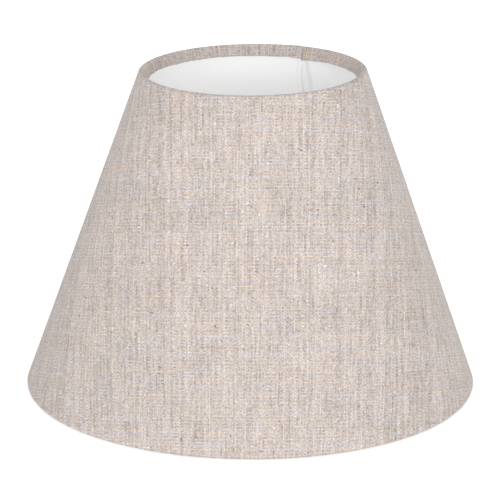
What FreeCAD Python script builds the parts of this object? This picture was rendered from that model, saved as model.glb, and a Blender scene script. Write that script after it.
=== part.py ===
"""A tapered round lamp shade: linen over a white liner, on a wire frame with a fitter at the bottom.

Millimetres, +Z up. The origin is the centre of the bottom rim, on the surface the shade stands on.
The front is -Y and the seam of the wall is at the back, a little to the right.
"""

import math
import os

import FreeCAD
import Part

# Overall sizes, measured over the linen
bottom_diameter = 300.0
top_diameter = 150.0
height = 215.0

# The wall: linen outside, liner inside, bonded together, with one lapped seam
linen = 0.5
liner = 0.35
tape = 0.10
bond_gap = 0.05
lap_width = 10.0
lap_web = 0.5
seam_azimuth = 64.0

# The rolled hems. The lower one is taped down on the liner. The upper one is cut to a smaller
# round than the wall below it, so it can't reach the liner, and hangs free from the ring.
top_hem_drop = 7.4
bottom_hem_depth = 8.2
bottom_hem_wrap = 60.0
hem_tape_inset = 0.4

# The wire frame
ring_wire = 3.0
arm_wire = 3.0
arm_count = 3
first_arm_azimuth = 90.0
arm_foot = 12.0
arm_bend = 6.0
arm_lead = 7.0
weld_gap = 0.02
weld_bite = 0.3
notch_clearance = 0.5

# The fitter ring, which sits on a lamp holder
fitter_hole = 42.0
fitter_thickness = 1.2
arm_seat = 3.5
fitter_height = 30.0
fitter_edge = 0.3

# The loose reducer ring for a narrower lamp holder
reducer_bore = 29.0
reducer_flange = 48.0
reducer_flange_thickness = 1.6
reducer_drop = 1.0
reducer_edge = 0.4
hub_clearance = 0.3
flange_clearance = 1.0

# The arms end beside the reducer's flange, on the outer band of the fitter ring
arm_end = reducer_flange / 2 + flange_clearance
fitter_outer = 2 * (arm_end + arm_seat)

# How deep each layer lies below the linen's outer face, square to the wall
liner_out = linen + bond_gap
liner_in = liner_out + liner
ring_depth = liner_in + bond_gap + ring_wire / 2
rim_width = liner_in + bond_gap + ring_wire + bond_gap + linen
rim_radius = rim_width / 2
tape_out = liner_in + bond_gap
tape_in = tape_out + tape
hem_out = tape_in + bond_gap
hem_in = hem_out + linen

# The two rims are half circles, and the wall runs straight between their centres
low_centre = (bottom_diameter / 2 - rim_radius, rim_radius)
high_centre = (top_diameter / 2 - rim_radius, height - rim_radius)
rise = high_centre[1] - low_centre[1]
taper = low_centre[0] - high_centre[0]
wall_length = math.hypot(rise, taper)
up = (-taper / wall_length, rise / wall_length)
inward = (-up[1], up[0])
hem_run = bottom_hem_depth - rim_radius
hem_bend = rim_width - ring_depth


def at(depth, along):
    """The point of the wall's section at a depth below the linen and a distance up from the low rim."""
    side = depth - rim_radius
    return FreeCAD.Vector(
        low_centre[0] + inward[0] * side + up[0] * along,
        0,
        low_centre[1] + inward[1] * side + up[1] * along,
    )


def line(a, b):
    return Part.LineSegment(a, b).toShape()


def arc(a, through, b):
    return Part.Arc(a, through, b).toShape()


def revolved(edges):
    face = Part.Face(Part.Wire(edges))
    return face.revolve(FreeCAD.Vector(0, 0, 0), FreeCAD.Vector(0, 0, 1), 360)


def band(depth_out, depth_in, low, high):
    """A conical band of the wall between two depths and two distances up from the low rim."""
    corners = [at(depth_out, low), at(depth_out, high), at(depth_in, high), at(depth_in, low)]
    return revolved([line(a, b) for a, b in zip(corners, corners[1:] + corners[:1])])


def turned(shape, azimuth):
    copy = shape.copy()
    copy.rotate(FreeCAD.Vector(0, 0, 0), FreeCAD.Vector(0, 0, 1), azimuth)
    return copy


def strip(layer, side_low, side_high):
    """The stretch of a conical layer between two distances sideways from the seam's centre line."""
    slab = Part.makeBox(
        bottom_diameter,
        side_high - side_low,
        2 * height,
        FreeCAD.Vector(0, side_low, -height / 2),
    )
    return layer.common(turned(slab, seam_azimuth))


def hem_landing(face_depth, wire_radius):
    """How far above the ring's centre a face of the lower hem, on its way up, meets the wall."""
    wrap = math.radians(bottom_hem_wrap)
    free = (ring_depth + wire_radius * math.cos(wrap) - face_depth) / math.sin(wrap)
    return wire_radius * math.sin(wrap) + free * math.cos(wrap)


def bottom_hem_face(face_depth, wire_radius, edge_radius):
    """One face of the lower hem, from the wall under the rim, round the ring and up to the raw edge.

    Returns the edges in order and the last point.
    """
    wrap = math.radians(bottom_hem_wrap)

    def near_ring(angle):
        side = ring_depth + wire_radius * math.cos(angle)
        return at(side, wire_radius * math.sin(angle))

    wall = at(rim_radius - edge_radius, 0)
    under = at(rim_radius, -edge_radius)
    inmost = at(rim_radius + edge_radius, 0)
    leaves = near_ring(wrap)
    lands = at(face_depth, hem_landing(face_depth, wire_radius))
    raw = at(face_depth, hem_run)
    edges = [
        arc(wall, under, inmost),
        arc(inmost, near_ring(wrap / 2), leaves),
        line(leaves, lands),
        line(lands, raw),
    ]
    return edges, raw


def top_hem_face(edge_radius):
    """One face of the upper hem, from the wall over the rim and down, leaning in as the wall leans out.

    Returns the edges in order and the last point.
    """
    centre = at(rim_radius, wall_length)
    square = FreeCAD.Vector(-up[1], 0, -up[0])
    down = FreeCAD.Vector(up[0], 0, -up[1])
    wall = at(rim_radius - edge_radius, wall_length)
    over = centre + FreeCAD.Vector(0, 0, edge_radius)
    leaves = centre + square * edge_radius
    raw = leaves + down * ((leaves.z - height + top_hem_drop) / -down.z)
    return [arc(wall, over, leaves), line(leaves, raw)], raw


def hem_outline(outer, inner):
    """Both faces of a hem, each with its last point, and the raw edge that joins them."""
    return outer[0] + [line(outer[1], inner[1])] + inner[0]


def notch(azimuth):
    """The slot in the lower hem that lets one arm through, up to the hem's raw edge."""
    foot = at(ring_depth, 0)
    width = arm_wire + 2 * notch_clearance
    reach = arm_wire + arm_foot
    floor = foot.z - arm_wire / 2 - bond_gap
    above = at(tape_out - bond_gap / 2, bottom_hem_depth + ring_wire)
    beside = at(tape_out - bond_gap / 2, ring_wire)
    corners = [
        FreeCAD.Vector(foot.x - reach, -width / 2, floor),
        FreeCAD.Vector(foot.x, -width / 2, floor),
        FreeCAD.Vector(foot.x, -width / 2, foot.z),
        FreeCAD.Vector(beside.x, -width / 2, beside.z),
        FreeCAD.Vector(above.x, -width / 2, above.z),
        FreeCAD.Vector(foot.x - reach, -width / 2, above.z),
    ]
    face = Part.Face(Part.makePolygon(corners + corners[:1]))
    return turned(face.extrude(FreeCAD.Vector(0, width, 0)), azimuth)


def arm_azimuths():
    return [first_arm_azimuth + 360.0 * i / arm_count for i in range(arm_count)]


def fabric_cover():
    """The linen: the wall, both rolled hems with their raw edges inside, and the seam's outer lap."""
    outer_side = [line(at(0, 0), at(0, wall_length))]
    inner_side = [line(at(linen, 0), at(linen, wall_length))]
    top = hem_outline(top_hem_face(rim_radius), top_hem_face(rim_radius - linen))
    bottom = hem_outline(
        bottom_hem_face(hem_in, hem_bend, rim_radius),
        bottom_hem_face(hem_out, hem_bend - linen, rim_radius - linen),
    )
    profile = Part.__sortEdges__(outer_side + top + inner_side + bottom)
    lap = strip(band(-linen, linen / 2, 0, wall_length), -lap_width / 2, lap_width / 2)
    cover = revolved(profile).fuse(lap)
    for azimuth in arm_azimuths():
        cover = cover.cut(notch(azimuth))
    return cover.removeSplitter()


def liner_sheet():
    """The white liner, ending level with the rings' centres, with its lapped end inside the seam."""
    low = hem_run + bond_gap
    high = wall_length - low
    lap_out = tape_in + bond_gap
    lap_in = lap_out + liner
    sheet = band(liner_out, liner_in, 0, wall_length)
    lap = strip(band(lap_out, lap_in, low, high), -lap_width / 2, lap_width / 2)
    web = strip(
        band(liner_in - liner / 2, lap_in, low, high),
        lap_width / 2 - lap_web,
        lap_width / 2,
    )
    return sheet.fuse([lap, web]).removeSplitter()


def seam_tape():
    """The adhesive tape between the liner's two lapped ends."""
    low = hem_run + bond_gap
    layer = band(tape_out, tape_in, low, wall_length - low)
    return strip(layer, -lap_width / 2, lap_width / 2 - lap_web - bond_gap)


def hem_tape():
    """The adhesive tape that holds the lower hem down on the liner, near the hem's raw edge."""
    low = hem_landing(hem_out, hem_bend - linen)
    return band(tape_out, tape_in, low, hem_run - hem_tape_inset)


def ring(along, gap=0):
    """A wire ring inside a rim, or the space that keeps a gap from it."""
    centre = at(ring_depth, along)
    section = Part.makeCircle(ring_wire / 2 + gap, centre, FreeCAD.Vector(0, 1, 0))
    return revolved([section])


def rounded_path(points, radius):
    """Straight runs through the points, joined by tangent arcs of one radius."""
    edges = []
    start = points[0]
    for before, corner, after in zip(points, points[1:], points[2:]):
        back = (before - corner).normalize()
        ahead = (after - corner).normalize()
        half = back.getAngle(ahead) / 2
        middle = (back + ahead).normalize()
        setback = radius / math.tan(half)
        centre = corner + middle * (radius / math.sin(half))
        enters = corner + back * setback
        leaves = corner + ahead * setback
        edges.append(line(start, enters))
        edges.append(arc(enters, centre - middle * radius, leaves))
        start = leaves
    edges.append(line(start, points[-1]))
    return Part.Wire(edges)


def fitter_arm(azimuth):
    """One wire arm, from the bottom ring inward and up to the top face of the fitter ring."""
    foot = at(ring_depth, 0)
    seat = fitter_height + fitter_thickness + arm_wire / 2 + weld_gap
    starts = foot.x - ring_wire / 2 + weld_bite
    points = [
        FreeCAD.Vector(starts, 0, foot.z),
        FreeCAD.Vector(foot.x - arm_foot, 0, foot.z),
        FreeCAD.Vector(fitter_outer / 2 + arm_lead, 0, seat),
        FreeCAD.Vector(arm_end, 0, seat),
    ]
    section = Part.makeCircle(arm_wire / 2, points[0], FreeCAD.Vector(1, 0, 0))
    path = rounded_path(points, arm_bend)
    wire = path.makePipeShell([Part.Wire([section])], True, False)
    return turned(wire.cut(ring(0, weld_gap)), azimuth)


def flat_ring(outer, hole, low, high):
    centre = FreeCAD.Vector(0, 0, low)
    disc = Part.makeCylinder(outer / 2, high - low, centre)
    return disc.cut(Part.makeCylinder(hole / 2, high - low, centre))


def circles_of(shape, radius):
    """The shape's round edges of one radius."""
    return [
        edge
        for edge in shape.Edges
        if isinstance(edge.Curve, Part.Circle) and abs(edge.Curve.Radius - radius) < 1e-6
    ]


def fitter_ring():
    """The steel ring that the arms are welded to."""
    disc = flat_ring(fitter_outer, fitter_hole, fitter_height, fitter_height + fitter_thickness)
    edge = min(fitter_edge, fitter_thickness / 3)
    return disc.makeFillet(edge, circles_of(disc, fitter_outer / 2))


def reducer_ring():
    """The plastic ring that rests in the fitter's hole by its flange."""
    seat = fitter_height + fitter_thickness
    foot = fitter_height - reducer_drop
    hub = flat_ring(fitter_hole - 2 * hub_clearance, reducer_bore, foot, seat)
    flange = flat_ring(reducer_flange, reducer_bore, seat, seat + reducer_flange_thickness)
    whole = hub.fuse(flange).removeSplitter()
    edge = min(reducer_edge, reducer_flange_thickness / 3)
    top_rim = [
        e for e in circles_of(whole, reducer_flange / 2) if e.Curve.Center.z > seat + edge
    ]
    return whole.makeFillet(edge, top_rim)


def build():
    nodes = {
        "fabric_cover": fabric_cover(),
        "liner_sheet": liner_sheet(),
        "seam_tape": seam_tape(),
        "hem_tape": hem_tape(),
        "top_ring": ring(wall_length),
        "bottom_ring": ring(0),
        "fitter_ring": fitter_ring(),
        "reducer_ring": reducer_ring(),
    }
    for number, azimuth in enumerate(arm_azimuths(), 1):
        nodes[f"fitter_arm_{number}"] = fitter_arm(azimuth)
    return nodes


os.makedirs("parts", exist_ok=True)
for node, shape in build().items():
    print(
        f"{node:16s} solids {len(shape.Solids)} valid {shape.isValid()} "
        f"volume {shape.Volume:9.2f} z {shape.BoundBox.ZMin:7.3f} {shape.BoundBox.ZMax:7.3f}"
    )
    shape.exportStep(f"parts/{node}.step")
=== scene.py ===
"""A tapered lamp shade: linen bonded to a white liner, rolled over two wire rings, on a wire fitter."""

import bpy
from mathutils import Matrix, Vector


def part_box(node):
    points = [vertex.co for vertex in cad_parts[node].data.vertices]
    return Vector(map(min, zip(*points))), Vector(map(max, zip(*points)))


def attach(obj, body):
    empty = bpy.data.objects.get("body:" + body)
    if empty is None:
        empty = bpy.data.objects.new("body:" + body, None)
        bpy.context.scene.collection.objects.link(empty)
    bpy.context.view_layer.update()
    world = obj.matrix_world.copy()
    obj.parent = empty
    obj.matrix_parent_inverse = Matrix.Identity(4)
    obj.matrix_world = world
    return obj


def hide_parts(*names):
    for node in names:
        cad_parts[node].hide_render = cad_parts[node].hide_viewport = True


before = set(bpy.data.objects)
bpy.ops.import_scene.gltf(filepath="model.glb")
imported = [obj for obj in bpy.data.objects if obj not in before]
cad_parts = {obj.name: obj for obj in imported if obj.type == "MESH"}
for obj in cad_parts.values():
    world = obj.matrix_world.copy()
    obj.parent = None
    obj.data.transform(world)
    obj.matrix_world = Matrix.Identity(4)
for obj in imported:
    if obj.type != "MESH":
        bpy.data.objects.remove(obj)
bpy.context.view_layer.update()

import math

import bmesh
import bpy
from mathutils import Vector, noise

MM = 0.001

# The wall's layers, as the CAD has them
LINEN = 0.5 * MM
LINER = 0.35 * MM
TAPE = 0.1 * MM
BOND = 0.05 * MM

# The rolled hems, and how far from each rim the seam's lap flattens out
TOP_HEM_DROP = 7.4 * MM
BOTTOM_HEM_DEPTH = 8.2 * MM
BOTTOM_HEM_WRAP = math.radians(60)
RIM_REACH = 8 * MM

TURN = math.radians(360)
FRONT = math.radians(270)

# The seam: the end that starts at SEAM lies inside, and the other end laps over it, its raw edge
# folded back. The outer end rises onto the inner one over a ramp.
SEAM = math.radians(64)
LAP = 10 * MM
FOLD_BACK = 4 * MM
FOLD_RAMP = 3 * MM
RAMP_AT_RIM = 2.5 * MM
RAMP_AT_MIDDLE = 9 * MM

# The inner end is cut at a skew, SEAM_SKEW further round from SKEW_DEPTH below the rims
SEAM_SKEW = 4.5 * MM
SKEW_DEPTH = 26 * MM

# On the hems the two ends butt instead. The upper hem's joint lies a little to one side of the
# seam, and its raw edge hangs lower there.
BUTT_GAP = 0.07 * MM
HEM_SEAM_SHIFT = math.radians(2.5)
SEAM_HEM_EXTRA = 1.4 * MM
SEAM_HEM_REACH = 22 * MM

# The liner: a lip at its inner end, the ridge over the seam tape's edge, and the short laps of both
LIP = 1.2 * MM
RIDGE = 0.12 * MM
RIDGE_FROM_EDGE = 3.4 * MM
RIDGE_WIDTH = 0.7 * MM
LINER_LAP = LAP - 0.4 * MM
TAPE_START = 0.5 * MM
TAPE_END = LAP - 1 * MM
TAPE_OFF_RIMS = 4 * MM

# The top ring sits a little askew on the wall, as hand work leaves it
TOP_LEAN = 0.0117
TOP_SHIFT = 0.87 * MM

# The notches that let the arms through the lower hem
ARM_AZIMUTHS = [math.radians(a) for a in (90, 210, 330)]
NOTCH = 4 * MM

# How finely the sheets and the wire are divided
COLUMNS = 420
WALL_ROWS = 56
LINER_COLUMNS = 360
LINER_EDGE_COLUMNS = 24
LINER_EDGE = 6 * MM
LINER_ROWS = 40

# How the weave lies on the wall: its level threads in planes tilted down to the front, and its
# upright threads eased apart beside the front, within RELAXED of it
GRAIN_TILT = 0.2978
EASE = 0.19
RELAXED = math.radians(100)

# The weave
WARP_PITCH = 1.0 * MM
WEFT_PITCH = 1.04 * MM
HUE_PITCH = 3.5 * MM


# ---------------------------------------------------------------- the section of the wall


def ring_of(node):
    """The centre of a wire ring's section as (radius, height), and the wire's radius."""
    low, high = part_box(node)
    wire = (high.z - low.z) / 2
    return Vector((high.x - wire, (low.z + high.z) / 2)), wire


LOW_RING, WIRE = ring_of("bottom_ring")
HIGH_RING, _ = ring_of("top_ring")
WALL = (HIGH_RING - LOW_RING).length
UP = (HIGH_RING - LOW_RING) / WALL
OUT = Vector((UP.y, -UP.x))
SIN_TAPER = -UP.x

LINER_IN = WIRE + BOND
LINER_OUT = LINER_IN + LINER
LINEN_OUT = LINER_OUT + BOND + LINEN
RIM = (LINEN_OUT + WIRE + BOND + LINEN) / 2
RIM_SHIFT = LINEN_OUT - RIM
LIFT = LINEN_OUT - LINER_IN + LINEN + TAPE + 3 * BOND


def at(out, along):
    """The point (radius, height) that far outside the rings' line and up it from the lower ring."""
    return LOW_RING + UP * along + OUT * out


def smooth(x):
    x = min(max(x, 0), 1)
    return x * x * (3 - 2 * x)


def mix(a, b, t):
    return a + (b - a) * t


def bottom_hem_points():
    """The lower hem's middle line from the wall to its raw edge, as (out, along, tucked).

    tucked goes from 0 on the wall to 1 where the linen has gone round the rim.
    """
    points = []
    over = RIM - LINEN / 2
    steps = 16
    for i in range(1, steps):
        angle = math.pi * i / steps
        points.append((RIM_SHIFT + over * math.cos(angle), -over * math.sin(angle), i / steps))
    round_wire = WIRE + BOND + LINEN / 2
    steps = 6
    for i in range(steps + 1):
        angle = BOTTOM_HEM_WRAP * i / steps
        points.append((-round_wire * math.cos(angle), round_wire * math.sin(angle), 1))
    strip = WIRE - TAPE - BOND - LINEN / 2
    drop = strip + round_wire * math.cos(BOTTOM_HEM_WRAP)
    start_out, start_along = points[-1][0], points[-1][1]
    lands = start_along + drop / math.tan(BOTTOM_HEM_WRAP)
    for share in (0.3, 0.6, 0.85):
        points.append((start_out + drop * share, mix(start_along, lands, share), 1))
    points.append((strip - 0.06 * drop, lands + 0.2 * MM, 1))
    landed = lands + 0.6 * MM
    for share in (0, 0.25, 0.5, 0.75, 0.9, 1):
        points.append((strip, mix(landed, BOTTOM_HEM_DEPTH - RIM, share), 1))
    return points


def top_hem_points():
    """The upper hem's middle line: over the rim, then straight down, leaning in."""
    points = []
    over = RIM - LINEN / 2
    turned = math.pi - 2 * math.atan2(-UP.x, UP.y)
    steps = 16
    for i in range(1, steps + 1):
        angle = turned * i / steps
        points.append((RIM_SHIFT + over * math.cos(angle), over * math.sin(angle), i / steps))
    leaves = at(points[-1][0], WALL + points[-1][1])
    top = at(RIM_SHIFT, WALL).y + RIM
    fall = (leaves.y - top + TOP_HEM_DROP) / UP.y
    steps = 10
    for i in range(1, steps + 1):
        place = leaves + Vector((UP.x, -UP.y)) * fall * i / steps - LOW_RING
        points.append((place.dot(OUT), place.dot(UP) - WALL, 1))
    return points


class Row:
    """One line round the sheet: where it is on the section, which way is off the ring, and how far
    along the cut cloth it lies."""

    def __init__(self, out, along, tucked, end):
        self.out, self.along, self.tucked, self.end = out, along, tucked, end
        self.place = at(out, along)
        self.off = OUT.copy()
        self.flat = 0.0
        self.base = self.place
        self.past = 0.0


def add_directions(rows):
    """Gives each row its direction off the sheet, and its radius on the flat cut."""
    for i, row in enumerate(rows):
        before, after = rows[max(i - 1, 0)].place, rows[min(i + 1, len(rows) - 1)].place
        way = (after - before).normalized()
        row.off = Vector((way.y, -way.x))
    middle = min(range(len(rows)), key=lambda i: abs(rows[i].along - WALL / 2))
    rows[middle].flat = rows[middle].place.x / SIN_TAPER
    for i in range(middle + 1, len(rows)):
        rows[i].flat = rows[i - 1].flat - (rows[i].place - rows[i - 1].place).length
    for i in range(middle - 1, -1, -1):
        rows[i].flat = rows[i + 1].flat + (rows[i].place - rows[i + 1].place).length
    return rows


def cover_rows():
    linen = LINEN_OUT - LINEN / 2
    low = [Row(*point, "low") for point in reversed(bottom_hem_points())]
    wall = [Row(linen, WALL * i / WALL_ROWS, 0, "") for i in range(WALL_ROWS + 1)]
    high = [Row(out, WALL + beyond, tucked, "high") for out, beyond, tucked in top_hem_points()]
    rows = add_directions(low + wall + high)
    half_round = RIM * math.pi / 2
    for hem, edge, way in ((low, wall[0], -1), (high, wall[-1], 1)):
        for row in hem:
            past = abs(row.flat - edge.flat)
            row.base = edge.place
            row.past = way * min(past, 2 * half_round - past)
    return rows


def liner_rows():
    middle = LINER_IN + LINER / 2
    return add_directions([Row(middle, WALL * i / LINER_ROWS, 0, "") for i in range(LINER_ROWS + 1)])


# ---------------------------------------------------------------- the sheet round the shade


def ramp_length(along):
    """How far before the seam the outer end starts to rise, tight at the rims and slack between them."""
    return mix(RAMP_AT_RIM, RAMP_AT_MIDDLE, math.sin(math.pi * min(max(along / WALL, 0), 1)) ** 0.8)


def near_rim(row):
    """1 at the rims and on the hems, and 0 from RIM_REACH off them."""
    return 1 - smooth(min(row.along, WALL - row.along) / RIM_REACH)


def lap_lift(row, angle):
    """How far the outer end of the sheet stands off where it laps over the inner end."""
    ramp = ramp_length(row.along) / row.place.x
    end = SEAM + TURN
    single = mix(LIFT - LINEN, LINEN + BOND, near_rim(row))
    folded = LINEN * (1 - near_rim(row))
    fold = end + (LAP - FOLD_BACK - FOLD_RAMP) / row.place.x
    lift = single * smooth((angle - end + ramp) / ramp)
    lift += folded * smooth((angle - fold) * row.place.x / FOLD_RAMP)
    return lift * (1 - smooth(2 * row.tucked))


def ripple(angle, along, size, scale, seed):
    """A smooth random height round the shade, the same on both sides of the seam."""
    place = Vector((math.cos(angle), math.sin(angle), along / (2 * LOW_RING.x)))
    return size * noise.noise(place * scale + Vector((seed, seed, seed)))


def bottom_hem_irregularity(row, angle):
    """Small gathers where the lower hem is taped down, too long for the wall, and a wavy raw edge."""
    share = smooth(row.along / (BOTTOM_HEM_DEPTH - RIM))
    edge = ripple(angle, 0, 0.55 * MM, 9, 3) + ripple(angle, 0, 0.3 * MM, 40, 5)
    gather = ripple(angle, 0, 0.3 * MM, 34, 8) * smooth(row.along / (2 * MM)) * (1 - share)
    return UP * edge * share - OUT * abs(gather)


def top_hem_irregularity(row, angle):
    """The upper hem's raw edge isn't straight, swings in and out a little, and is longer at the seam."""
    share = smooth((at(RIM_SHIFT, WALL).y - row.place.y) / (TOP_HEM_DROP - RIM))
    to_seam = abs(angle - SEAM - TURN) * row.place.x
    edge = SEAM_HEM_EXTRA * math.exp(-to_seam / SEAM_HEM_REACH)
    edge += ripple(angle, WALL, 0.4 * MM, 9, 3) + ripple(angle, WALL, 0.2 * MM, 40, 5)
    swing = ripple(angle, WALL, 0.7 * MM, 5, 8)
    return Vector((swing, -edge)) * share


def sheet_point(row, angle, rise):
    """A point of the sheet at an angle, rise above its resting place on the section."""
    place = row.place + row.off * (lap_lift(row, angle) + rise)
    place = place + OUT * ripple(angle, row.along, 0.12 * MM, 2.2, 1) * (1 - row.tucked)
    if row.tucked > 0.4:
        own = top_hem_irregularity if row.end == "high" else bottom_hem_irregularity
        place = place + own(row, angle)
    return leaned(Vector((place.x * math.cos(angle), place.x * math.sin(angle), place.y)))


def leaned(point):
    """A point moved as the askew top ring moves it, more the higher it is."""
    share = (point.z - LOW_RING.y) / (HIGH_RING.y - LOW_RING.y)
    return point + Vector((TOP_SHIFT, 0, TOP_LEAN * point.x)) * min(max(share, 0), 1.05)


def thread_angle(angle):
    """How many radians of upright threads lie between the front and an angle."""
    turn = angle - FRONT
    near = min(abs(turn), RELAXED)
    waves = TURN / RELAXED
    eased = near - EASE * (near - math.sin(waves * near) / waves)
    return math.copysign(eased + abs(turn) - near, turn)


def weave_point(row, angle):
    """Where a point of the sheet lies in the weave, as (along level threads, along upright threads)."""
    level = row.base.y * math.cos(GRAIN_TILT)
    level -= row.base.x * math.cos(angle - FRONT) * math.sin(GRAIN_TILT)
    return (row.base.x * thread_angle(angle), level + row.past)


def fold_columns():
    """The folded end of the outer lap as (further round, off the sheet): a half turn and a run back."""
    radius = (LINER + 2 * BOND + LINEN) / 2
    steps = 6
    fold = []
    for i in range(1, steps + 1):
        angle = math.pi * i / steps
        fold.append((radius * math.sin(angle), -radius * (1 - math.cos(angle))))
    for share in (0.35, 0.7, 1):
        fold.append((-FOLD_BACK * share, -2 * radius))
    return fold


def column_shares(row):
    """The columns' places from 0 at the inner end to 1 at the outer end, and the notches' columns."""
    shares = [i / COLUMNS for i in range(COLUMNS + 1)]
    span = row_span(row)
    notches = []
    for azimuth in ARM_AZIMUTHS:
        middle = (azimuth - start_angle(row)) % TURN / span
        half = NOTCH / 2 / LOW_RING.x / span
        first = round((middle - half) * COLUMNS)
        last = max(round((middle + half) * COLUMNS), first + 1)
        shares[first] = middle - half
        shares[last] = middle + half
        notches.append(range(first, last))
    return shares, notches


def start_angle(row):
    """Where a row's inner end starts: skewed away below the rims, and shifted on the upper hem."""
    depth = min(row.along, WALL - row.along)
    skew = SEAM_SKEW * smooth(depth / SKEW_DEPTH) / row.place.x
    shift = HEM_SEAM_SHIFT * row.tucked if row.end == "high" else 0
    return SEAM + skew - shift


def row_span(row):
    """How far round a row runs: past the seam by the lap on the wall, just short of it when tucked."""
    lapped = SEAM + TURN + LAP / row.place.x
    butted = start_angle(row) + TURN - BUTT_GAP / row.place.x
    return mix(lapped, butted, smooth(2 * row.tucked)) - start_angle(row)


def mesh_object(name, points, faces, places, material):
    """A smooth mesh that rides on the shade, with its points' places on the material's map, if any."""
    mesh = bpy.data.meshes.new(name)
    mesh.from_pydata(points, [], faces)
    if places:
        layer = mesh.uv_layers.new(name="Map")
        for loop in mesh.loops:
            layer.data[loop.index].uv = places[loop.vertex_index]
    for polygon in mesh.polygons:
        polygon.use_smooth = True
    mesh.materials.append(material)
    mesh.validate()
    piece = bpy.data.objects.new(name, mesh)
    bpy.context.scene.collection.objects.link(piece)
    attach(piece, "shade")
    return piece


def thicken(piece, thickness):
    """Gives a sheet its thickness, half to each side."""
    solid = piece.modifiers.new("thickness", "SOLIDIFY")
    solid.thickness = thickness
    solid.offset = 0
    solid.use_even_offset = False


def grid_faces(rows, columns, leave_out):
    """Quads between neighbouring rows and columns, facing off the sheet."""
    faces = []
    for r in range(rows - 1):
        for c in range(columns - 1):
            if (r, c) not in leave_out:
                a = r * columns + c
                faces.append((a, a + 1, a + columns + 1, a + columns))
    return faces


def linen_cover(material):
    """The linen: one sheet from the lower raw edge inside, round the rim, up the wall and in again."""
    rows = cover_rows()
    shares, notches = column_shares(rows[0])
    fold = fold_columns()
    points, weave = [], []
    for row in rows:
        span = row_span(row)
        start = start_angle(row)
        for share in shares:
            angle = start + share * span
            points.append(sheet_point(row, angle, 0))
            weave.append(weave_point(row, angle))
        end = start + span
        for further, off in fold:
            keep = (1 - smooth(2 * row.tucked)) * (1 - near_rim(row))
            angle = end + further * keep / row.place.x
            points.append(sheet_point(row, angle, off * keep - (1 - keep) * 0.02 * MM))
            weave.append(weave_point(row, end + abs(further) / row.place.x))
    columns = len(shares) + len(fold)
    open_rows = [
        r for r in range(len(rows) - 1) if rows[r].end == "low" and rows[r].place.x < LOW_RING.x
    ]
    leave_out = {
        (r, c) for r in open_rows for notch in notches for c in notch if over_arm(rows[r])
    }
    leave_out |= {
        (r, c)
        for r in range(len(rows) - 1)
        for c in range(len(shares) - 1, columns - 1)
        if min(rows[r].tucked, rows[r + 1].tucked) > 0.5
    }
    piece = mesh_object(
        "linen_cover", points, grid_faces(len(rows), columns, leave_out), weave, material
    )
    drop_loose(piece)
    thicken(piece, LINEN)
    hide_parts("fabric_cover")
    return piece


def over_arm(row):
    """True where the lower hem would cross an arm, above the linen that lies under the ring."""
    return row.place.y > LOW_RING.y - WIRE + 0.1 * MM or row.along > 0


def drop_loose(piece):
    """Removes the points that no face uses, as in the notches."""
    edit = bmesh.new()
    edit.from_mesh(piece.data)
    bmesh.ops.delete(edit, geom=[v for v in edit.verts if not v.link_faces], context="VERTS")
    edit.to_mesh(piece.data)
    edit.free()


def liner_rise(row, angle):
    """The liner's lip is pressed out onto the outer lap, and a faint ridge shows the tape's edge."""
    past = (start_angle(row) - angle) * row.place.x
    pressed = (LIFT - LINEN - LINER - 2 * BOND) * (1 - near_rim(row)) * smooth(past / LIP)
    ridge = RIDGE * math.exp(-(((past + RIDGE_FROM_EDGE) / RIDGE_WIDTH) ** 2))
    return pressed - ridge


def past_seam(row, angle):
    """How far round a point is from the inner end's edge, or short of the seam for the outer end."""
    if angle > SEAM + math.pi:
        return (angle - SEAM - TURN) * row.place.x
    return (angle - start_angle(row)) * row.place.x


def liner_sheet(material):
    """The stiff white liner, with its inner end's edge showing as a line down the seam."""
    rows = liner_rows()
    points, seam_places = [], []
    for row in rows:
        start = start_angle(row)
        lip, near = -LIP / row.place.x, LINER_EDGE / row.place.x
        end = SEAM + TURN + LINER_LAP / row.place.x
        angles = [start + mix(lip, near, c / LINER_EDGE_COLUMNS) for c in range(LINER_EDGE_COLUMNS)]
        angles += [mix(start + near, end, c / LINER_COLUMNS) for c in range(LINER_COLUMNS + 1)]
        points += [sheet_point(row, angle, liner_rise(row, angle)) for angle in angles]
        seam_places += [(past_seam(row, angle), row.along) for angle in angles]
    faces = grid_faces(len(rows), LINER_EDGE_COLUMNS + LINER_COLUMNS + 1, set())
    piece = mesh_object("white_liner", points, faces, seam_places, material)
    thicken(piece, LINER)
    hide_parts("liner_sheet")
    return piece


def top_wire(material):
    """The top ring, askew with the hem that holds it."""
    around, steps = 240, 16
    points, faces = [], []
    for i in range(around):
        angle = TURN * i / around
        for j in range(steps):
            turn = TURN * j / steps
            radius = HIGH_RING.x + WIRE * math.cos(turn)
            height = HIGH_RING.y + WIRE * math.sin(turn)
            points.append(leaned(Vector((radius * math.cos(angle), radius * math.sin(angle), height))))
            ahead, beside = (i + 1) % around * steps, (j + 1) % steps
            faces.append((i * steps + j, ahead + j, ahead + beside, i * steps + beside))
    piece = mesh_object("top_wire", points, faces, None, material)
    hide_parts("top_ring")


def seam_tape(material):
    """The double-sided tape that bonds the outer lap on the inner one."""
    across, steps = 5, 40
    points = []
    for i in range(steps + 1):
        along = mix(TAPE_OFF_RIMS, WALL - TAPE_OFF_RIMS, i / steps)
        row = Row(LINEN_OUT + BOND + TAPE / 2, along, 0, "")
        start = start_angle(row) + TAPE_START / row.place.x
        end = SEAM + TAPE_END / row.place.x
        points += [sheet_point(row, mix(start, end, c / (across - 1)), 0) for c in range(across)]
    piece = mesh_object("lap_tape", points, grid_faces(steps + 1, across, set()), None, material)
    thicken(piece, TAPE)
    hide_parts("seam_tape")


# ---------------------------------------------------------------- materials


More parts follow.
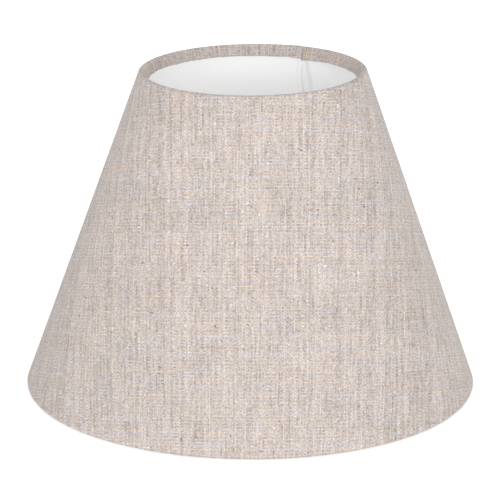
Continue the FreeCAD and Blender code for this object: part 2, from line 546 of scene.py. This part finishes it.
class Nodes:
    """A short way to write a material's node tree."""

    def __init__(self, name):
        self.material = bpy.data.materials.new(name)
        self.material.use_nodes = True
        self.tree = self.material.node_tree
        self.shader = self.tree.nodes["Principled BSDF"]

    def link(self, value, socket):
        if isinstance(value, bpy.types.NodeSocket):
            self.tree.links.new(value, socket)
        elif value is not None:
            socket.default_value = value

    def math(self, operation, a, b=None, c=None, clamp=False):
        node = self.tree.nodes.new("ShaderNodeMath")
        node.operation = operation
        node.use_clamp = clamp
        for value, socket in zip((a, b, c), node.inputs):
            self.link(value, socket)
        return node.outputs[0]

    def vector(self, x, y, z=0.0):
        node = self.tree.nodes.new("ShaderNodeCombineXYZ")
        for value, socket in zip((x, y, z), node.inputs):
            self.link(value, socket)
        return node.outputs[0]

    def noise(self, vector, scale, detail=2.0, roughness=0.5):
        node = self.tree.nodes.new("ShaderNodeTexNoise")
        self.link(vector, node.inputs["Vector"])
        node.inputs["Scale"].default_value = scale
        node.inputs["Detail"].default_value = detail
        node.inputs["Roughness"].default_value = roughness
        return node.outputs["Fac"]

    def random(self, vector):
        node = self.tree.nodes.new("ShaderNodeTexWhiteNoise")
        node.noise_dimensions = "3D"
        self.link(vector, node.inputs["Vector"])
        return node.outputs["Value"]

    def total(self, first, *others):
        for other in others:
            first = self.math("ADD", first, other)
        return first

    def blend(self, factor, a, b):
        node = self.tree.nodes.new("ShaderNodeMix")
        node.data_type = "RGBA"
        ends = [socket for socket in node.inputs if socket.type == "RGBA"]
        for value, socket in zip((factor, a, b), (node.inputs[0], *ends)):
            self.link(value, socket)
        return next(socket for socket in node.outputs if socket.type == "RGBA")

    def scaled_color(self, color, factor):
        node = self.tree.nodes.new("ShaderNodeVectorMath")
        node.operation = "SCALE"
        self.link(color, node.inputs[0])
        self.link(factor, node.inputs["Scale"])
        return node.outputs[0]

    def map_range(self, value, low, high, to_low, to_high):
        node = self.tree.nodes.new("ShaderNodeMapRange")
        node.interpolation_type = "SMOOTHSTEP"
        self.link(value, node.inputs["Value"])
        for name, number in (
            ("From Min", low),
            ("From Max", high),
            ("To Min", to_low),
            ("To Max", to_high),
        ):
            node.inputs[name].default_value = number
        return node.outputs["Result"]

    def bell(self, value, middle, width):
        """1 where value is at the middle, and down to 0 a width to each side of it."""
        off = self.math("ABSOLUTE", self.math("SUBTRACT", value, middle))
        return self.map_range(off, 0.0, width, 1.0, 0.0)

    def parts(self, vector):
        node = self.tree.nodes.new("ShaderNodeSeparateXYZ")
        self.link(vector, node.inputs[0])
        return node.outputs

    def map(self):
        node = self.tree.nodes.new("ShaderNodeUVMap")
        node.uv_map = "Map"
        x, y, _ = self.parts(node.outputs["UV"])
        return x, y

    def place(self):
        return self.tree.nodes.new("ShaderNodeTexCoord").outputs["Object"]

    def bump(self, height, distance, strength=1.0):
        node = self.tree.nodes.new("ShaderNodeBump")
        node.inputs["Distance"].default_value = distance
        node.inputs["Strength"].default_value = strength
        self.link(height, node.inputs["Height"])
        self.link(node.outputs["Normal"], self.shader.inputs["Normal"])

    def set(self, **values):
        for name, value in values.items():
            self.link(value, self.shader.inputs[name.replace("_", " ")])


# Linen colours, in linear light
LINEN_PEACH = (0.530, 0.427, 0.343, 1)
LINEN_BLUE = (0.463, 0.447, 0.472, 1)
NEP_BROWN = (0.25, 0.17, 0.10, 1)


def linen_material():
    """A plain weave of uneven threads in natural shades, peach and blue-grey by turns up the cloth."""
    n = Nodes("natural_linen")
    x, y = n.map()
    mm_x, mm_y = n.math("MULTIPLY", x, 1000.0), n.math("MULTIPLY", y, 1000.0)

    def stretched(per_mm_x, per_mm_y, seed, detail=2.0, roughness=0.5):
        place = n.vector(n.math("MULTIPLY", mm_x, per_mm_x), n.math("MULTIPLY", mm_y, per_mm_y), seed)
        return n.noise(place, 1.0, detail, roughness)

    # The threads don't run quite straight, nor are they all as wide
    sway_x = n.math("MULTIPLY", stretched(0.30, 0.02, 0.0), 1.3)
    sway_y = n.math("MULTIPLY", stretched(0.02, 0.16, 7.0), 1.0)
    warp = n.math("ADD", n.math("DIVIDE", x, WARP_PITCH), sway_x)
    weft = n.math("ADD", n.math("DIVIDE", y, WEFT_PITCH), sway_y)
    warp_id, weft_id = n.math("FLOOR", warp), n.math("FLOOR", weft)
    across_warp = n.math("SINE", n.math("MULTIPLY", warp, math.pi))
    across_weft = n.math("SINE", n.math("MULTIPLY", weft, math.pi))
    crossing = n.math("MULTIPLY", across_warp, across_weft)
    warp_on_top = n.map_range(crossing, -0.3, 0.3, 0.0, 1.0)
    crown = n.math("ABSOLUTE", crossing)

    # Lightness: each thread its own, drifting along it, with finer fibres beside one another
    warp_tone = n.random(n.vector(warp_id, 3.0, 0.0))
    warp_drift = n.noise(n.vector(n.math("MULTIPLY", warp_id, 7.3), n.math("MULTIPLY", mm_y, 0.06)), 1.0)
    weft_tone = n.random(n.vector(weft_id, 11.0, 5.0))
    weft_drift = n.noise(n.vector(n.math("MULTIPLY", mm_x, 0.08), n.math("MULTIPLY", weft_id, 5.7)), 1.0)
    upright = n.total(
        n.map_range(warp_tone, 0.0, 1.0, -0.13, 0.10),
        n.map_range(warp_drift, 0.28, 0.62, -0.20, 0.08),
        n.map_range(stretched(1.0, 0.05, 31.0, 1.0), 0.25, 0.75, -0.13, 0.13),
    )
    level = n.total(
        n.map_range(weft_tone, 0.0, 1.0, -0.05, 0.05),
        n.map_range(weft_drift, 0.25, 0.75, -0.06, 0.06),
        n.math("MULTIPLY", n.math("COSINE", n.math("MULTIPLY", weft_id, math.pi)), 0.055),
    )
    shared = n.math("MULTIPLY_ADD", warp_on_top, 0.75, 0.2)
    threads = n.total(
        n.math("MULTIPLY", upright, shared),
        n.math("MULTIPLY", level, n.math("SUBTRACT", 1.1, shared)),
        n.math("MULTIPLY_ADD", warp_on_top, 0.08, -0.04),
    )

    # Single crossings, lighter or darker, some with painted shade in a deep gap beside them, and soft
    # clouds
    cell = n.random(n.vector(warp_id, weft_id, 2.0))
    second_cell = n.random(n.vector(warp_id, weft_id, 9.0))
    gap_shade_depth = n.map_range(second_cell, 0.2, 1.0, 0.03, 0.26)
    gap_shade = n.math("MULTIPLY", gap_shade_depth, n.map_range(crown, 0.0, 0.55, -1.0, 0.12))
    grain_x = n.math("FLOOR", n.math("MULTIPLY", warp, 1.7))
    grain_y = n.math("FLOOR", n.math("MULTIPLY", weft, 1.7))
    grain = n.random(n.vector(grain_x, grain_y, 4.0))
    specks = n.total(
        n.map_range(cell, 0.0, 1.0, -0.05, 0.05),
        n.map_range(grain, 0.0, 1.0, -0.17, 0.17),
        n.map_range(cell, 0.965, 0.995, 0.0, -0.20),
        n.map_range(cell, 0.004, 0.001, 0.0, 0.45),
    )
    clouds = n.map_range(stretched(0.03, 0.03, 40.0), 0.3, 0.7, -0.03, 0.03)

    # Painted shade: the lowest turn of the lower rim is made a little greyer, as shade falls there next
    # to what the shade stands on
    painted_rim_shade = n.map_range(n.parts(n.place())[2], 0.4 * MM, 1.8 * MM, -0.20, 0.0)
    light = n.total(1.0, threads, specks, gap_shade, clouds, painted_rim_shade)

    # Hue: peach and blue-grey streaks by turns, of uneven length and strength
    turn = n.total(n.math("DIVIDE", y, HUE_PITCH), n.math("MULTIPLY", stretched(0.015, 0.14, 3.0), 1.9))
    stripe = n.math("SINE", n.math("MULTIPLY", turn, TURN))
    half_turn = n.math("FLOOR", n.math("MULTIPLY", turn, 2.0))
    streak = n.noise(n.vector(n.math("MULTIPLY", mm_x, 0.17), n.math("MULTIPLY", half_turn, 3.7)), 1.0)
    strength = n.map_range(streak, 0.32, 0.72, 0.05, 1.15)
    hue = n.total(
        n.math("MULTIPLY", stripe, strength),
        n.map_range(weft_drift, 0.25, 0.75, 0.35, -0.35),
        n.map_range(stretched(0.06, 0.06, 50.0), 0.3, 0.7, -0.05, 0.15),
    )
    color = n.blend(n.map_range(hue, -1.7, 1.7, 0.0, 1.0), LINEN_BLUE, LINEN_PEACH)
    nep = n.map_range(second_cell, 0.0012, 0.0004, 0.0, 1.0)
    color = n.blend(nep, n.scaled_color(color, light), NEP_BROWN)

    fibre = n.noise(n.vector(mm_x, mm_y, 60.0), 5.0, 2.0)
    n.bump(n.total(crown, n.math("MULTIPLY", fibre, 0.35)), 0.16 * MM, 0.8)
    roughness = n.map_range(fibre, 0.2, 0.8, 0.82, 0.95)
    n.set(Base_Color=color, Roughness=roughness, Specular_IOR_Level=0.25)
    n.set(Sheen_Weight=0.12, Sheen_Roughness=0.5)
    return n.material


def liner_material():
    """White matt sheet plastic with a faint calendered grain, and a faint painted glow for the light
    that comes through the wall.
    """
    n = Nodes("white_liner_sheet")
    place = n.place()

    # Painted shade beside its edge: the liner is made greyer over the crease that the lap below it
    # makes, and along the tape's end
    past, _ = n.map()
    crease_shade = n.bell(past, -2.9 * MM, 3.6 * MM)
    tape_end_shade = n.bell(past, 1.7 * MM, 1.4 * MM)
    painted_shade = n.total(n.math("MULTIPLY", crease_shade, 0.8), n.math("MULTIPLY", tape_end_shade, 0.35))
    cloud = n.noise(place, 14.0, 3.0)
    tone = n.map_range(cloud, 0.3, 0.7, 0.0, 1.0)
    white = n.blend(tone, (0.925, 0.925, 0.925, 1), (0.945, 0.945, 0.945, 1))
    n.set(Base_Color=n.blend(painted_shade, white, (0.80, 0.80, 0.80, 1)))
    grain = n.noise(place, 1400.0, 3.0, 0.6)
    n.set(Roughness=n.map_range(grain, 0.3, 0.7, 0.42, 0.58), Specular_IOR_Level=0.35)
    # Painted light: a faint white glow stands in for light that comes through the linen and the liner
    n.set(Emission_Color=(1, 1, 1, 1), Emission_Strength=0.04)
    n.bump(grain, 0.02 * MM, 0.5)
    return n.material


def tape_material():
    """Adhesive tape, a little yellow and streaked along its grain."""
    n = Nodes("adhesive_tape")
    place = n.place()
    streak = n.noise(place, 300.0, 2.0)
    n.set(Base_Color=n.blend(streak, (0.72, 0.70, 0.62, 1), (0.80, 0.78, 0.72, 1)))
    n.set(Roughness=n.map_range(streak, 0.3, 0.7, 0.3, 0.5))
    n.bump(streak, 0.02 * MM, 0.6)
    return n.material


def wire_material():
    """White powder coat on steel: a fine orange-peel skin, a shade greyer where it is thin."""
    n = Nodes("white_powder_coat")
    place = n.place()
    peel = n.noise(place, 900.0, 2.0)
    wear = n.noise(place, 60.0, 4.0, 0.6)
    thin = n.map_range(wear, 0.5, 0.72, 0.0, 1.0)
    n.set(Base_Color=n.blend(thin, (0.86, 0.86, 0.84, 1), (0.74, 0.73, 0.70, 1)))
    n.set(Roughness=n.map_range(wear, 0.3, 0.7, 0.28, 0.42), Coat_Weight=0.3, Coat_Roughness=0.2)
    n.bump(peel, 0.03 * MM, 0.7)
    return n.material


def reducer_material():
    """Moulded white heat-proof plastic with a fine spark-eroded grain."""
    n = Nodes("moulded_white_plastic")
    place = n.place()
    grain = n.noise(place, 2200.0, 2.0)
    flow = n.noise(place, 45.0, 2.0)
    n.set(Base_Color=n.blend(flow, (0.84, 0.83, 0.79, 1), (0.88, 0.87, 0.84, 1)))
    n.set(Roughness=n.map_range(grain, 0.3, 0.7, 0.34, 0.46), Specular_IOR_Level=0.5)
    n.bump(grain, 0.015 * MM, 0.6)
    return n.material


def floor_material():
    """A pale studio table, lit a little from below as a light table is."""
    n = Nodes("pale_floor")
    n.set(Base_Color=(0.9, 0.9, 0.9, 1), Roughness=0.9, Specular_IOR_Level=0.1)
    n.set(Emission_Color=(1, 1, 1, 1), Emission_Strength=0.4)
    return n.material


# ---------------------------------------------------------------- the studio


def floor(material):
    """A wide plain floor, just clear of the linen's lower rim."""
    mesh = bpy.data.meshes.new("floor")
    size, depth = 6.0, -0.7 * MM
    corners = [(-size, -size, depth), (size, -size, depth), (size, size, depth), (-size, size, depth)]
    mesh.from_pydata(corners, [], [(0, 1, 2, 3)])
    mesh.materials.append(material)
    piece = bpy.data.objects.new("floor", mesh)
    bpy.context.scene.collection.objects.link(piece)


def camera():
    """A long lens from the front and a little above, aimed at the shade's axis."""
    data = bpy.data.cameras.new("camera")
    data.lens = 201.5
    data.shift_x = -0.0014
    data.clip_start = 0.05
    data.dof.use_dof = False
    piece = bpy.data.objects.new("camera", data)
    bpy.context.scene.collection.objects.link(piece)
    aim = Vector((0, 0, 0.09125))
    distance, rise = 1.8635, 0.2978
    piece.location = aim + Vector((0, -math.cos(rise), math.sin(rise))) * distance
    look = (aim - piece.location).to_track_quat("-Z", "Y")
    piece.rotation_euler = look.to_euler()
    piece.rotation_euler.rotate_axis("Z", 0.0036)
    bpy.context.scene.camera = piece


def area_light(name, place, size, power):
    """A soft white light aimed at the middle of the shade."""
    data = bpy.data.lights.new(name, "AREA")
    data.shape = "RECTANGLE"
    data.size, data.size_y = size
    data.energy = power
    piece = bpy.data.objects.new(name, data)
    bpy.context.scene.collection.objects.link(piece)
    piece.location = place
    piece.rotation_euler = (Vector((0, 0, 0.1)) - Vector(place)).to_track_quat("-Z", "Y").to_euler()


def lights():
    """A white surround with a low key from the front right, a fill from the left and one above."""
    world = bpy.data.worlds.new("studio")
    world.use_nodes = True
    background = world.node_tree.nodes["Background"]
    background.inputs["Color"].default_value = (1.0, 1.0, 1.0, 1)
    background.inputs["Strength"].default_value = 0.78
    bpy.context.scene.world = world
    area_light("key", (0.45, -2.25, 0.62), (1.2, 0.6), 24)
    area_light("fill", (-1.5, -1.8, 0.62), (1.2, 0.6), 6)
    area_light("top", (0.0, -0.2, 2.2), (1.6, 1.6), 3)


def finish_cad_nodes(wire, tape):
    """Gives each CAD node that stays in view its own finish."""
    finishes = {"reducer_ring": reducer_material(), "hem_tape": tape}
    for name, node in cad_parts.items():
        if node.hide_render:
            continue
        node.data.materials.clear()
        node.data.materials.append(finishes.get(name, wire))


camera()
linen_cover(linen_material())
liner_sheet(liner_material())
wire, tape = wire_material(), tape_material()
finish_cad_nodes(wire, tape)
top_wire(wire)
seam_tape(tape)
floor(floor_material())
lights()
bpy.context.scene.view_settings.view_transform = "Standard"
